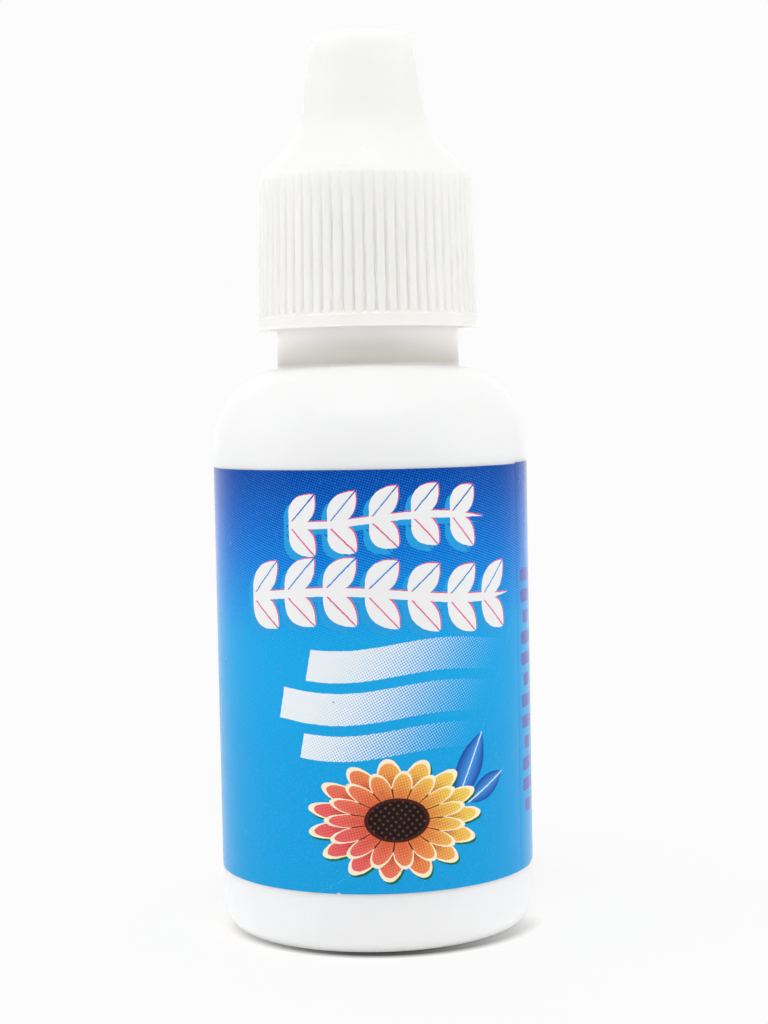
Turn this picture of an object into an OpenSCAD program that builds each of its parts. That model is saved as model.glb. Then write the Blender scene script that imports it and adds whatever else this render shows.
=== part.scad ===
// Squeezable bottle for eye drops: a soft round bottle with a threaded neck, a dropper tip pressed
// into the neck, a ribbed bell-shaped screw cap with a small seal for the tip, and a film label.
// The bottle stands on the XY plane with its axis on Z, and the cap is drawn screwed down.

/* [Bottle body] */
// Outside diameter of the bare body
body_d = 24.84; // [22:0.02:30]
// Height at which the shoulder starts to curve in
body_h = 37.9; // [30:0.1:60]
// Wall of the body and the shoulder
body_wall = 0.95; // [0.7:0.05:1.3]
// Thickness of the floor over the standing ring
floor_t = 1.1; // [0.8:0.1:1.6]
// Radius of the shoulder's curve
shoulder_r = 6.3; // [4:0.1:7]
// Width of the rounded corner at the foot
foot_round_w = 1.1; // [0.6:0.1:2]
// Height of the rounded corner at the foot
foot_round_h = 2.8; // [2:0.1:4]
// Width of the flat ring that the bottle stands on
foot_ring_w = 2.3; // [1.5:0.1:3]
// Height of the recess inside the standing ring
push_up_h = 0.8; // [0.4:0.1:1.2]
// Diameter of the gate mark in the recess
gate_d = 2; // [1:0.1:3]
// Height of the gate mark
gate_h = 0.25; // [0.1:0.05:0.35]

/* [Neck] */
// Diameter of the plain collar at the foot of the neck
collar_d = 14.4; // [13.6:0.1:14.6]
// Height of the plain collar above the shoulder
collar_h = 4.1; // [3.5:0.1:4.5]
// Height of the whole neck above the shoulder
neck_h = 12.05; // [11.5:0.05:13]
// Diameter of the bore through the neck
neck_bore_d = 10.3; // [9.6:0.1:10.8]
// Rounding of the edges at the neck's mouth and where the collar steps in
neck_edge = 0.3; // [0.1:0.05:0.4]

/* [Screw thread] */
// Diameter over the neck's thread
thread_d = 14.3; // [14:0.1:14.4]
// Diameter of the neck between the turns
thread_root_d = 13; // [12.8:0.1:13.2]
// Rise of the thread in one turn
thread_lead = 2.5; // [2.2:0.1:2.8]
// Width of a thread at its root
thread_root_w = 1.2; // [0.9:0.05:1.2]
// Width of a thread at its crest
thread_crest_w = 0.5; // [0.3:0.05:0.6]
// Turns of thread on the neck
neck_turns = 2; // [1:0.25:2.25]
// Turns of thread in the cap
cap_turns = 1.5; // [1:0.25:1.75]
// Radial space between a crest and the wall that it faces
thread_space = 0.25; // [0.2:0.05:0.3]
// Extra axial space between the thread flanks of the neck and the cap
thread_play = 0.1; // [0.05:0.05:0.2]

/* [Dropper tip] */
// Diameter of the flange that lies on the neck's mouth
flange_d = 12.6; // [12:0.1:12.8]
// Thickness of the flange
flange_t = 1; // [0.8:0.1:1.2]
// Length of the plug inside the neck
plug_l = 6; // [5:0.1:8]
// Wall of the plug
plug_wall = 1.1; // [0.8:0.1:1.3]
// Height of the nozzle above the flange
nozzle_h = 9.6; // [9:0.1:9.8]
// Diameter of the nozzle's foot on the flange
nozzle_foot_d = 8.4; // [7.8:0.1:8.8]
// Diameter of the nozzle where its foot turns into the slim shank
nozzle_shank_d = 3.74; // [3.6:0.02:4]
// Diameter of the nozzle's waist
nozzle_waist_d = 3.3; // [3.1:0.1:3.5]
// Diameter of the rounded tip
nozzle_tip_d = 3.7; // [3.5:0.1:4]
// Diameter of the channel inside the shank
channel_d = 2.04; // [1.8:0.02:2.2]
// Diameter of the outlet
outlet_d = 1; // [0.9:0.05:1.2]
// Length of the outlet
outlet_l = 1.4; // [1.3:0.1:2]
// Squeeze of each sealing bead into the neck's bore
bead_squeeze = 0.05; // [0.02:0.01:0.08]
// Radial gap between the plug and the bore beside the beads
plug_gap = 0.1; // [0.05:0.01:0.15]

/* [Cap] */
// Height of the cap
cap_h = 23.1; // [23:0.1:24]
// Depth from the rim to the ring that seals on the flange
seal_depth = 10.1; // [9.8:0.1:10.3]
// Diameter of the smooth band at the rim
band_d = 17.66; // [17.5:0.02:18.2]
// Height of the smooth band
band_h = 0.85; // [0.7:0.05:1.3]
// Height of the bevel on top of the band
band_bevel_h = 0.4; // [0.3:0.05:0.6]
// Diameter over the grip ribs just above the band
grip_low_d = 17.4; // [17.3:0.02:17.5]
// Diameter over the grip ribs at the top
grip_top_d = 16.84; // [16.8:0.02:17]
// Height of the ribbed skirt above the rim
skirt_h = 11.9; // [11.6:0.1:12.1]
// Number of grip ribs
rib_count = 64; // [56:1:72]
// Depth of the valleys between the ribs
rib_depth = 0.27; // [0.2:0.01:0.3]
// Height at which the bell bends in
bell_bend_h = 13.5; // [13.3:0.1:13.7]
// Diameter of the bell where it bends
bell_bend_d = 13.7; // [13.5:0.1:13.9]
// Height at which the bell turns into the slim top
top_foot_h = 16.05; // [15.8:0.05:16.3]
// Diameter of the slim top at its foot
top_foot_d = 9.88; // [9.6:0.02:10.2]
// Diameter of the slim top at its end
top_d = 7.8; // [7.6:0.05:8]
// Wall of the cap's bell and top
cap_wall = 1.05; // [0.9:0.05:1.15]
// Rounding of the cap's upper end
top_round = 0.85; // [0.5:0.05:1.2]

/* [Tip seal] */
// Diameter of the seal's disc
disc_d = 4.4; // [4:0.1:4.8]
// Thickness of the disc
disc_t = 0.9; // [0.7:0.1:1]
// Diameter of the stem in the cap's socket
stem_d = 2.24; // [2:0.02:2.4]
// Length of the stem
stem_l = 1.5; // [1.2:0.1:1.6]
// Diameter of the pin in the outlet
pin_d = 0.8; // [0.6:0.05:0.85]
// Length of the pin
pin_l = 1; // [0.8:0.1:1.2]

/* [Label] */
// Height of the label's lower edge above the ground
label_low_h = 4.65; // [4:0.05:6]
// Height of the label
label_h = 31.85; // [22:0.05:33]
// Thickness of the film
label_t = 0.08; // [0.05:0.01:0.15]

/* [Hidden] */

$fn = 96;

// Clearances and roundings
face_gap = 0.1;
socket_gap = 0.03;
seal_gap = 0.15;
small_round = 0.3;
inner_round = 0.8;

// Steps on rounded corners and along the thread
arc_step = 9;
thread_sides = 36;
ramp_turn_share = 0.12;
corner_share = 0.49;

// Bottle and neck
body_r = body_d / 2;
inner_r = body_r - body_wall;
shoulder_mid = [body_r - shoulder_r, body_h];
collar_r = collar_d / 2;
bore_r = neck_bore_d / 2;
root_r = thread_root_d / 2;
shoulder_top = body_h + rise_at(shoulder_r, collar_r - shoulder_mid.x);
collar_top = shoulder_top + collar_h;
neck_top = shoulder_top + neck_h;
foot_out_r = body_r - foot_round_w;
foot_in_r = foot_out_r - foot_ring_w;

// Thread on the neck and in the cap
crest_r = thread_d / 2;
cap_bore_r = crest_r + thread_space;
cap_crest_r = root_r + thread_space;
thread_sink = 0.15;
neck_thread_z = collar_top + neck_edge + thread_root_w / 2;
thread_drop = (thread_root_w + thread_crest_w) / 2 + thread_play;
cap_thread_z = collar_top + thread_space + thread_root_w / 2;
cap_thread_a = 360 * (cap_thread_z + thread_drop - neck_thread_z) / thread_lead;

// Dropper tip
flange_r = flange_d / 2;
flange_top = neck_top + flange_t;
nozzle_top = flange_top + nozzle_h;
plug_r = bore_r - plug_gap;
plug_in_r = plug_r - plug_wall;
bead_r = bore_r + bead_squeeze;
bead_w = 0.8;
bead_shares = [0.3, 0.68];
plug_lead_in = 0.5;
waist_share = 0.78;
throat_share = 0.4;
shank_share = 0.36;
channel_r = channel_d / 2;
outlet_flare = 0.3;

// Cap, with its heights counted from the rim
rim_z = flange_top + face_gap - seal_depth;
grip_low_r = grip_low_d / 2;
grip_top_r = grip_top_d / 2;
grip_low_z = band_h + band_bevel_h;
rib_share = 0.49;
rib_low_r = rib_share * 2 * PI * grip_low_r / rib_count;
rib_top_r = rib_share * 2 * PI * grip_top_r / rib_count;
grip_lean = atan((grip_low_r - grip_top_r) / (skirt_h - grip_low_z));
valley_angle = 269.4;
top_edge_h = 0.45;
edge_step = 0.03;
bell_round = 1.2;
bend_round = 12;
top_foot_round = 5;
rim_bevel = 0.35;
seal_ring_w = 0.9;
seal_ring_r = flange_r;

// Tip seal in the cap's top
disc_low = nozzle_top + face_gap;
disc_top = disc_low + disc_t;
socket_r = stem_d / 2 + socket_gap;
socket_wall = 0.75;
top_wall = 1.2;

// Height of a circle's edge at a distance from its middle
function rise_at(r, x) = sqrt(r * r - pow(max(0, x), 2));

// Direction of a vector, with length one
function unit(v) = v / norm(v);

// Direction square to a path, on its left
function left_of(v) = [-v.y, v.x];

// Point where two lines meet, each through a point along a direction
function meet(p, u, q, v) = p + u * ((q.x - p.x) * v.y - (q.y - p.y) * v.x) / (u.x * v.y - u.y * v.x);

// Arc that rounds the corner b between the points a and c
function corner(a, b, c, r) =
    let (
        u = unit(a - b),
        v = unit(c - b),
        half = acos(u * v) / 2,
        reach = corner_share * min(norm(a - b), norm(c - b)),
        fit_r = min(r, reach * tan(half)),
        mid = b + unit(u + v) * fit_r / sin(half),
        from = b + u * fit_r / tan(half) - mid,
        to = b + v * fit_r / tan(half) - mid,
        start = atan2(from.y, from.x),
        turn = atan2(from.x * to.y - from.y * to.x, from * to),
        steps = ceil(abs(turn) / arc_step)
    )
    [for (i = [0 : steps]) mid + fit_r * [cos(start + turn * i / steps), sin(start + turn * i / steps)]];

// Path whose inner corners are rounded, each by its own radius
function rounded(path, radii) = [
    for (i = [0 : len(path) - 1])
        each radii[i] > 0 ? corner(path[i - 1], path[i], path[i + 1], radii[i]) : [path[i]]
];

// Path that runs beside another one, at the distance t to its left
function beside(path, t) = [
    for (i = [0 : len(path) - 1])
        let (
            before = unit(path[max(i, 1)] - path[max(i, 1) - 1]),
            after = i < len(path) - 1 ? unit(path[i + 1] - path[i]) : before,
            side = left_of(i > 0 ? before : after),
            next_side = left_of(after)
        )
        path[i] + t * (side + next_side) / (1 + side * next_side)
];

// Arc of an ellipse about a middle, from one angle to another
function arc(mid, rx, ry, from, to) =
    let (steps = ceil(abs(to - from) / arc_step))
    [for (i = [0 : steps], a = from + (to - from) * i / steps) mid + [rx * cos(a), ry * sin(a)]];

// Screw ridge on a wall of radius wall_r, standing out of it by depth, or into it where depth is negative.
// Both of its ends fade into the wall.
module screw_ridge(wall_r, depth, turns, low_z, from) {
    steps = ceil(turns * thread_sides);
    ramp = ramp_turn_share * thread_sides;
    side = sign(depth);
    buried_r = wall_r - side * 2 * thread_sink;
    points = [
        for (i = [0 : steps])
            let (
                a = from + 360 * turns * i / steps,
                z = low_z + thread_lead * turns * i / steps,
                full = min(1, i / ramp, (steps - i) / ramp),
                top_r = wall_r - side * thread_sink + full * (depth + side * thread_sink),
                root = [buried_r, thread_root_w / 2],
                crest = [top_r, thread_crest_w / 2],
                low = side > 0 ? root : crest,
                high = side > 0 ? crest : root
            )
            each [
                for (p = [[low.x, -low.y], [high.x, -high.y], high, low])
                    [p.x * cos(a), p.x * sin(a), z + p.y]
            ]
    ];
    sides = [
        for (i = [0 : steps - 1], j = [0 : 3])
            let (a = 4 * i + j, b = 4 * i + (j + 1) % 4)
            each [[a, b, b + 4], [a, b + 4, a + 4]]
    ];
    last = 4 * steps;
    ends = [[2, 1, 0], [3, 2, 0], [last, last + 1, last + 2], [last, last + 2, last + 3]];
    polyhedron(points, concat(sides, ends));
}

// Outside of the bottle, from the middle of its base up to the neck's mouth
function bottle_outside() = concat(
    rounded(
        [[0, push_up_h], [foot_in_r - push_up_h, push_up_h], [foot_in_r, 0], [foot_out_r, 0]],
        [0, push_up_h, small_round, 0]
    ),
    arc([foot_out_r, foot_round_h], foot_round_w, foot_round_h, -90 + arc_step, 0),
    arc(shoulder_mid, shoulder_r, shoulder_r, 0, shoulder_end_a(shoulder_r, collar_r)),
    rounded(
        [
            [collar_r, shoulder_top], [collar_r, collar_top],
            [root_r, collar_top + neck_edge], [root_r, neck_top], [bore_r + neck_edge, neck_top]
        ],
        [0, neck_edge, neck_edge, neck_edge, 0]
    )
);

// Angle at which a shoulder's curve reaches the neck
function shoulder_end_a(r, neck_r) = acos(max(0, neck_r - shoulder_mid.x) / r);

// Inside of the bottle, from the neck's mouth down to the middle of its floor
function bottle_inside() =
    let (
        in_shoulder_r = shoulder_r - body_wall,
        roof_z = body_h + rise_at(in_shoulder_r, bore_r - shoulder_mid.x)
    )
    concat(
        rounded(
            [[bore_r, neck_top - neck_edge], [bore_r, roof_z], [shoulder_mid.x + small_round, roof_z]],
            [0, inner_round, 0]
        ),
        arc(
            shoulder_mid, in_shoulder_r, in_shoulder_r, shoulder_end_a(in_shoulder_r, bore_r) - arc_step, 0
        ),
        rounded(
            [
                [inner_r, foot_round_h], [inner_r, floor_t], [foot_in_r, floor_t],
                [foot_in_r - push_up_h, push_up_h + floor_t], [0, push_up_h + floor_t]
            ],
            [0, foot_round_h - floor_t, push_up_h, push_up_h, 0]
        )
    );

module bottle() color([0.93, 0.92, 0.90]) {
    rotate_extrude()
        polygon(concat(bottle_outside(), bottle_inside()));
    screw_ridge(root_r, crest_r - root_r, neck_turns, neck_thread_z, 0);
    translate([0, 0, push_up_h - gate_h])
        cylinder(d = gate_d, h = gate_h + floor_t / 2);
}

// Outside of the dropper tip, from the plug's lower end up to the outlet
function tip_outside() =
    let (
        plug_low = neck_top - plug_l,
        bead_zs = [for (s = bead_shares) plug_low + s * plug_l],
        beads = [
            for (z = bead_zs)
                each [
                    [plug_r, z - bead_w / 2], [bead_r, z - plug_gap],
                    [bead_r, z + plug_gap], [plug_r, z + bead_w / 2]
                ]
        ]
    )
    concat(
        [[plug_r - plug_gap, plug_low], [plug_r, plug_low + plug_lead_in]],
        beads,
        rounded(
            [
                [plug_r, neck_top], [flange_r, neck_top], [flange_r, flange_top],
                [nozzle_foot_d / 2, flange_top],
                [nozzle_shank_d / 2, flange_top + shank_share * nozzle_h],
                [nozzle_waist_d / 2, flange_top + waist_share * nozzle_h],
                [nozzle_tip_d / 2, nozzle_top - nozzle_tip_d / 4],
                [nozzle_tip_d / 2, nozzle_top],
                [outlet_d / 2 + outlet_flare, nozzle_top]
            ],
            [0, small_round, small_round, small_round, nozzle_foot_d / 2, nozzle_tip_d / 4, small_round,
                nozzle_tip_d / 4, 0]
        )
    );

// Inside of the dropper tip, from the outlet down to the plug's lower end
function tip_inside() = rounded(
    [
        [outlet_d / 2, nozzle_top - outlet_flare],
        [outlet_d / 2, nozzle_top - outlet_l],
        [channel_r, nozzle_top - outlet_l - channel_r],
        [channel_r, flange_top + throat_share * nozzle_h],
        [plug_in_r, neck_top],
        [plug_in_r, neck_top - plug_l]
    ],
    [0, 0, 0, inner_round, inner_round, 0]
);

module dropper_tip() color([0.96, 0.96, 0.94])
    rotate_extrude()
        polygon(concat(tip_outside(), tip_inside()));

// Line of the bell, from the plain edge above the ribs up to the cap's end, not yet rounded
function bell_line() = [
    [grip_top_r + edge_step, skirt_h],
    [bell_bend_d / 2, bell_bend_h],
    [top_foot_d / 2, top_foot_h],
    [top_d / 2, cap_h]
];

// Smooth outside of the cap, with the floor of the ribs' valleys as its skirt
function cap_outside() =
    let (edge_r = grip_top_r + edge_step, edge_z = skirt_h - top_edge_h)
    rounded(
        concat(
            [
                [cap_bore_r + rim_bevel, 0], [band_d / 2, 0], [band_d / 2, band_h],
                [grip_low_r - rib_depth, grip_low_z], [edge_r - rib_depth, edge_z - rib_depth],
                [edge_r, edge_z]
            ],
            bell_line(),
            [[0, cap_h]]
        ),
        [0, small_round, small_round, 0, 0, 0, bell_round, bend_round, top_foot_round, top_round, 0]
    );

// Inside of the cap, from the middle of its top down to the rim
function cap_inside() =
    let (
        wall_line = beside(bell_line(), cap_wall),
        bell_dir = wall_line[1] - wall_line[0],
        low_dir = wall_line[2] - wall_line[1],
        skirt_top = meet([cap_bore_r, 0], [0, 1], wall_line[0], bell_dir),
        ring_out = meet([seal_ring_r, 0], [0, 1], wall_line[0], bell_dir),
        ring_in = meet([seal_ring_r - seal_ring_w, 0], [0, 1], wall_line[1], low_dir),
        top_z = cap_h - top_wall,
        top_in = meet(wall_line[2], wall_line[3] - wall_line[2], [0, top_z], [1, 0]),
        boss_z = disc_top + seal_gap - rim_z,
        socket_z = disc_top + stem_l + seal_gap - rim_z
    )
    rounded(
        [
            [0, socket_z], [socket_r, socket_z], [socket_r, boss_z],
            [socket_r + socket_wall, boss_z], [socket_r + socket_wall, top_z],
            top_in, wall_line[2], ring_in,
            [ring_in.x, seal_depth], [ring_out.x, seal_depth], ring_out,
            skirt_top, [cap_bore_r, rim_bevel]
        ],
        [0, 0, 0, 0, 0, small_round, top_foot_round, 0, small_round, small_round, 0, inner_round, 0]
    );

// Grip ribs, which run from inside the band up into the plain edge under the bell
module grip_ribs() {
    low_z = band_h / 2;
    length = (skirt_h - top_edge_h / 2 - low_z) / cos(grip_lean);
    low_r = grip_low_r - rib_low_r + (grip_low_z - low_z) * tan(grip_lean);
    for (i = [0 : rib_count - 1])
        rotate([0, 0, valley_angle + 360 * (i + 0.5) / rib_count])
            translate([low_r, 0, low_z])
                rotate([0, -grip_lean, 0])
                    cylinder(r1 = rib_low_r, r2 = rib_top_r, h = length);
}

module cap() color([0.97, 0.96, 0.95]) {
    translate([0, 0, rim_z]) {
        rotate_extrude()
            polygon(concat(cap_outside(), cap_inside()));
        grip_ribs();
    }
    screw_ridge(cap_bore_r, cap_crest_r - cap_bore_r, cap_turns, cap_thread_z, cap_thread_a);
}

module tip_seal() color([0.90, 0.92, 0.93])
    rotate_extrude()
        polygon(rounded(
            [
                [0, disc_low - pin_l], [pin_d / 4, disc_low - pin_l],
                [pin_d / 2, disc_low - pin_l + pin_d / 2], [pin_d / 2, disc_low],
                [disc_d / 2, disc_low], [disc_d / 2, disc_top],
                [stem_d / 2, disc_top], [stem_d / 2, disc_top + stem_l - small_round],
                [stem_d / 2 - small_round, disc_top + stem_l], [0, disc_top + stem_l]
            ],
            [0, 0, 0, 0, small_round, small_round, 0, 0, 0, 0]
        ));

module label() color([0.05, 0.45, 0.80])
    translate([0, 0, label_low_h])
        difference() {
            cylinder(r = body_r + label_t, h = label_h);
            translate([0, 0, -label_t])
                cylinder(r = body_r, h = label_h + 2 * label_t);
        }

bottle();
dropper_tip();
cap();
tip_seal();
label();
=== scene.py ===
"""Looks of the eye drop bottle: camera, fine meshes, materials and light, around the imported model."""

import math

import bmesh
import bpy
from mathutils import Matrix, Vector


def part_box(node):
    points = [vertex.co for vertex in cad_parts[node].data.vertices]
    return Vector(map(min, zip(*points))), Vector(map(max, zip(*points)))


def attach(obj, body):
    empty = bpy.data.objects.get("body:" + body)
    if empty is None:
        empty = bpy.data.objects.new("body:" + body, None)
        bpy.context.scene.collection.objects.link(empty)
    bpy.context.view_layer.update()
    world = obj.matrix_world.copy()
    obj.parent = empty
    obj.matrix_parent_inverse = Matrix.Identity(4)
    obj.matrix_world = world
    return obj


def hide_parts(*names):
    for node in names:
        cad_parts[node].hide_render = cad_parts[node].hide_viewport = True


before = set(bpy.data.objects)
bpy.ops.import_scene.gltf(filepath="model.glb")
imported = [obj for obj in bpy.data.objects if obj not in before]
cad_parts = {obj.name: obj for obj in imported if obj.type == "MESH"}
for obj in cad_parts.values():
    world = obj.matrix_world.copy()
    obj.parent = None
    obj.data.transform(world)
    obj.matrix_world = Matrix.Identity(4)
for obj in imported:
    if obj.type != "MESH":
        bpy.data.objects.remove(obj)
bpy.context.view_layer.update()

MM = 0.001
ARC_STEP = math.radians(4)
CORNER_SHARE = 0.49
SHARP_ANGLE = math.radians(32)
SAME_PLACE = 1e-4
SMALL_SHARE = 1e-3
SMALL_GAP = 1e-6


# Camera, set as the photograph was taken. Places are in millimetres.
PHOTO_H = 1024
SENSOR = 36
focal_px = 2052.8
camera_place = (1.03, -163.9, 42.03)
camera_down = math.radians(3.31)
camera_roll = math.radians(1.12)
near_cut = 5

camera_data = bpy.data.cameras.new("camera")
camera_data.sensor_width = SENSOR
camera_data.lens = focal_px / PHOTO_H * SENSOR
camera_data.clip_start = near_cut * MM
camera = bpy.data.objects.new("camera", camera_data)
camera.matrix_world = (
    Matrix.Translation(Vector(camera_place) * MM)
    @ Matrix.Rotation(math.pi / 2 - camera_down, 4, "X")
    @ Matrix.Rotation(-camera_roll, 4, "Z")
)
bpy.context.scene.collection.objects.link(camera)
bpy.context.scene.camera = camera
bpy.context.scene.view_settings.view_transform = "Standard"


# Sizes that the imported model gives, in millimetres
def reach(node):
    """Lowest height, highest height and radius of a CAD node"""
    low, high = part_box(node)
    return low.z / MM, high.z / MM, high.x / MM


_, neck_top, body_r = reach("bottle")
plug_low, nozzle_top, flange_r = reach("dropper_tip")
rim_z, cap_top, band_r = reach("cap")
pin_low, stem_top, disc_r = reach("tip_seal")
label_low, label_high, label_r = reach("label")

# Bottle
body_h = 37.9
body_wall = 0.95
floor_t = 1.1
shoulder_r = 6.3
foot_w = 1.1
foot_h = 2.8
foot_ring_w = 2.3
push_up_h = 0.8
gate_r = 1
gate_h = 0.25
# Painted shade on the foot of the neck next to the shoulder: its height, the height over which it fades
# in, and its tone
crease_h = 2.4
crease_edge = 0.3
crease_shade_tone = (0.65, 0.635, 0.61)
collar_r = 7.2
collar_h = 4.1
bore_r = 5.15
edge_round = 0.3
root_r = 6.5
thread_depth = 0.65
thread_lead = 2.5
thread_root_w = 1.2
thread_crest_w = 0.5
thread_ramp = 0.12
neck_turns = 2
cap_turns = 1.5
thread_space = 0.25
thread_play = 0.1
thread_row = 0.12
fillet_a = math.radians(3)
body_columns = 192
small_columns = 96

# Dropper tip and its seal
flange_t = 1
plug_gap = 0.1
plug_wall = 1.1
plug_lead_in = 0.5
bead_r = 5.2
bead_w = 0.8
bead_shares = (0.3, 0.68)
nozzle_foot_r = 4.2
shank_r = 1.87
shank_share = 0.36
waist_r = 1.65
waist_share = 0.78
tip_r = 1.85
channel_r = 1.02
throat_share = 0.4
outlet_r = 0.5
outlet_l = 1.4
outlet_flare = 0.3
pin_r = 0.4
pin_l = 1
disc_t = 0.9
stem_r = 1.12

# Cap, with heights counted from its rim
cap_h = cap_top - rim_z
band_h = 0.85
bevel_h = 0.4
rib_count = 64
rib_depth = 0.27
rib_phases = (0, 0.05, 0.1, 0.15, 0.22, 0.36, 0.5, 0.64, 0.78, 0.85, 0.9, 0.95)
groove_share = 0.23
crown_share = 0.15
rib_low_r = 8.7
rib_top_r = 8.42
rib_valley_a = math.radians(269.4)
# Painted shade in the grooves between the ribs: the depths over which it comes in, and its tone
groove_from_to = (0.4, 0.85)
groove_shade_tone = (0.985, 0.983, 0.98)
# Painted shade: the skirt darkens over this height down from its top, and the band below it is darker
# still; their tones follow
skirt_shade_h = 7
skirt_shade_tone = (0.962, 0.962, 0.965)
band_shade_tone = (0.965, 0.965, 0.965)
rib_fade_h = 4.2
rib_fade = 0.8
skirt_h = 11.9
bell_cut_h = 11.2
run_out_h = 12.3
bevel_row = 0.03
skirt_row = 1.2
bell_cut_row = 0.05
bell_bend = (6.85, 13.5)
top_foot = (4.94, 16.05)
top_r = 3.9
bell_round = 1.8
bend_round = 12
top_foot_round = 5
top_round = 0.85
rim_round = 0.12
rim_bevel = 0.35
edge_step = 0.03
cap_wall = 1.05
top_wall = 1.2
seal_depth = 10.1
seal_ring_w = 0.9
socket_gap = 0.03
socket_wall = 0.75
socket_space = 0.15

# Label
film_t = 0.04
lap_a = math.radians(64)
lap_l = 2.5
lap_ease = 0.6
lap_thin = 0.03
lap_rise = 0.1
label_step = math.radians(1.5)
nick_u = -2.96
nick_w = 0.16
nick_h = 0.11
nick_shares = (-1, -0.6, -0.25, 0, 0.25, 0.6, 1)


# Outlines. A point holds a radius and a height.
def corner(a, b, c, radius):
    """Arc that rounds the corner b between the points a and c"""
    u, v = (a - b).normalized(), (c - b).normalized()
    half = u.angle(v) / 2
    reach_most = CORNER_SHARE * min((a - b).length, (c - b).length)
    radius = min(radius, reach_most * math.tan(half))
    middle = b + (u + v).normalized() * radius / math.sin(half)
    start = b + u * radius / math.tan(half) - middle
    end = b + v * radius / math.tan(half) - middle
    turn = math.atan2(start.x * end.y - start.y * end.x, start.dot(end))
    steps = max(2, math.ceil(abs(turn) / ARC_STEP))
    return [middle + Matrix.Rotation(turn * i / steps, 2) @ start for i in range(steps + 1)]


def rounded(path):
    """Path of (radius, height) or (radius, height, rounding) points, with its corners rounded"""
    points = [Vector(p[:2]) for p in path]
    outline = []
    for i, p in enumerate(path):
        if len(p) == 3:
            outline += corner(points[i - 1], points[i], points[i + 1], p[2])
        else:
            outline.append(points[i])
    return outline


def arc(middle, across, up, start, end):
    """Arc of an ellipse about a middle, between two angles"""
    steps = math.ceil(abs(end - start) / ARC_STEP)
    angles = [start + (end - start) * i / steps for i in range(steps + 1)]
    return [Vector((middle[0] + across * math.cos(a), middle[1] + up * math.sin(a))) for a in angles]


def dense(path, longest):
    """Path with points added, so that no stretch is longer than the given length"""
    outline = [path[0]]
    for a, b in zip(path, path[1:]):
        steps = max(1, math.ceil((b - a).length / longest))
        outline += [a.lerp(b, i / steps) for i in range(1, steps + 1)]
    return outline


def beside(path, distance):
    """Path of straight stretches that runs beside another, on its left"""
    points = [Vector(p[:2]) for p in path]
    outline = []
    for i, p in enumerate(points):
        before = (points[max(i, 1)] - points[max(i, 1) - 1]).normalized()
        after = (points[i + 1] - p).normalized() if i + 1 < len(points) else before
        before = before if i > 0 else after
        left, next_left = Vector((-before.y, before.x)), Vector((-after.y, after.x))
        outline.append(p + distance * (left + next_left) / (1 + left.dot(next_left)))
    return outline


def height_at(a, b, radius):
    """Height of the straight line through two points, at a radius"""
    return a.y + (b.y - a.y) * (radius - a.x) / (b.x - a.x)


def radius_at(path, height):
    """Radius of a rising outline at a height"""
    for a, b in zip(path, path[1:]):
        if a.y <= height <= b.y and b.y > a.y:
            return a.x + (b.x - a.x) * (height - a.y) / (b.y - a.y)
    return path[0].x if height < path[0].y else path[-1].x


def eased(share):
    """Smooth step from 0 to 1"""
    share = max(0, min(1, share))
    return share * share * (3 - 2 * share)


def thread_share(height, angle, low, turns, start):
    """How far a thread stands out of its wall at a place, from 0 to 1"""
    around = (angle - start) / math.tau % 1
    best = 0
    for lap in range(math.ceil(turns) + 1):
        done = around + lap
        fade = min(1, done / thread_ramp, (turns - done) / thread_ramp)
        off = abs(height - low - thread_lead * done)
        flank = (thread_root_w / 2 - off) / (thread_root_w / 2 - thread_crest_w / 2)
        best = max(best, min(fade, 1, flank))
    return eased(best)


# Meshes
class Shell:
    """Closed surface, made ring by ring about the Z axis. Places are in millimetres."""

    def __init__(self):
        self.points, self.faces, self.first, self.last = [], [], None, None

    def ring(self, angles, radius, height, shape=None):
        """Adds a ring, or a pole where the radius is 0, and joins it to the ring before"""
        start = len(self.points)
        for a in angles if radius > 0 else angles[:1]:
            r = shape(radius, height, a) if shape else radius
            self.points.append((r * math.cos(a), r * math.sin(a), height))
        ring = list(range(start, len(self.points)))
        if self.last:
            self.join(self.last, ring)
        else:
            self.first = ring
        self.last = ring

    def close(self):
        """Joins the last ring to the first"""
        self.join(self.last, self.first)

    def join(self, a, b):
        """Faces between two rings, of which one may have some times more points than the other"""
        if len(a) < len(b):
            a, b = b, a
        if len(b) == 1:
            self.faces += [(a[i - 1], a[i], b[0]) for i in range(len(a))]
            return
        ratio = len(a) // len(b)
        for i in range(len(b)):
            many = [a[(i * ratio + j) % len(a)] for j in range(ratio + 1)]
            self.faces.append((*many, b[(i + 1) % len(b)], b[i]))


def even(columns):
    """Angles of evenly spaced columns, of which one is a valley of the ribs"""
    return [rib_valley_a + math.tau * i / columns for i in range(columns)]


def turned(path, columns, shape=None):
    """Shell of revolution of an outline. One that doesn't end at poles is closed on itself."""
    shell = Shell()
    angles = even(columns)
    for p in path:
        shell.ring(angles, max(0, p.x), p.y, shape)
    if path[0].x > 0:
        shell.close()
    return shell


def piece(name, shell, body, node, material):
    """Object of a closed mesh that stands for a CAD node"""
    mesh = bpy.data.meshes.new(name)
    mesh.from_pydata([Vector(p) * MM for p in shell.points], [], shell.faces)
    work = bmesh.new()
    work.from_mesh(mesh)
    bmesh.ops.remove_doubles(work, verts=work.verts, dist=SAME_PLACE * MM)
    bmesh.ops.recalc_face_normals(work, faces=work.faces)
    for face in work.faces:
        face.smooth = True
    for edge in work.edges:
        edge.smooth = len(edge.link_faces) == 2 and edge.calc_face_angle(0) < SHARP_ANGLE
    work.to_mesh(mesh)
    work.free()
    mesh.materials.append(material)
    obj = bpy.data.objects.new(name, mesh)
    bpy.context.scene.collection.objects.link(obj)
    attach(obj, body)
    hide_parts(node)


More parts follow.
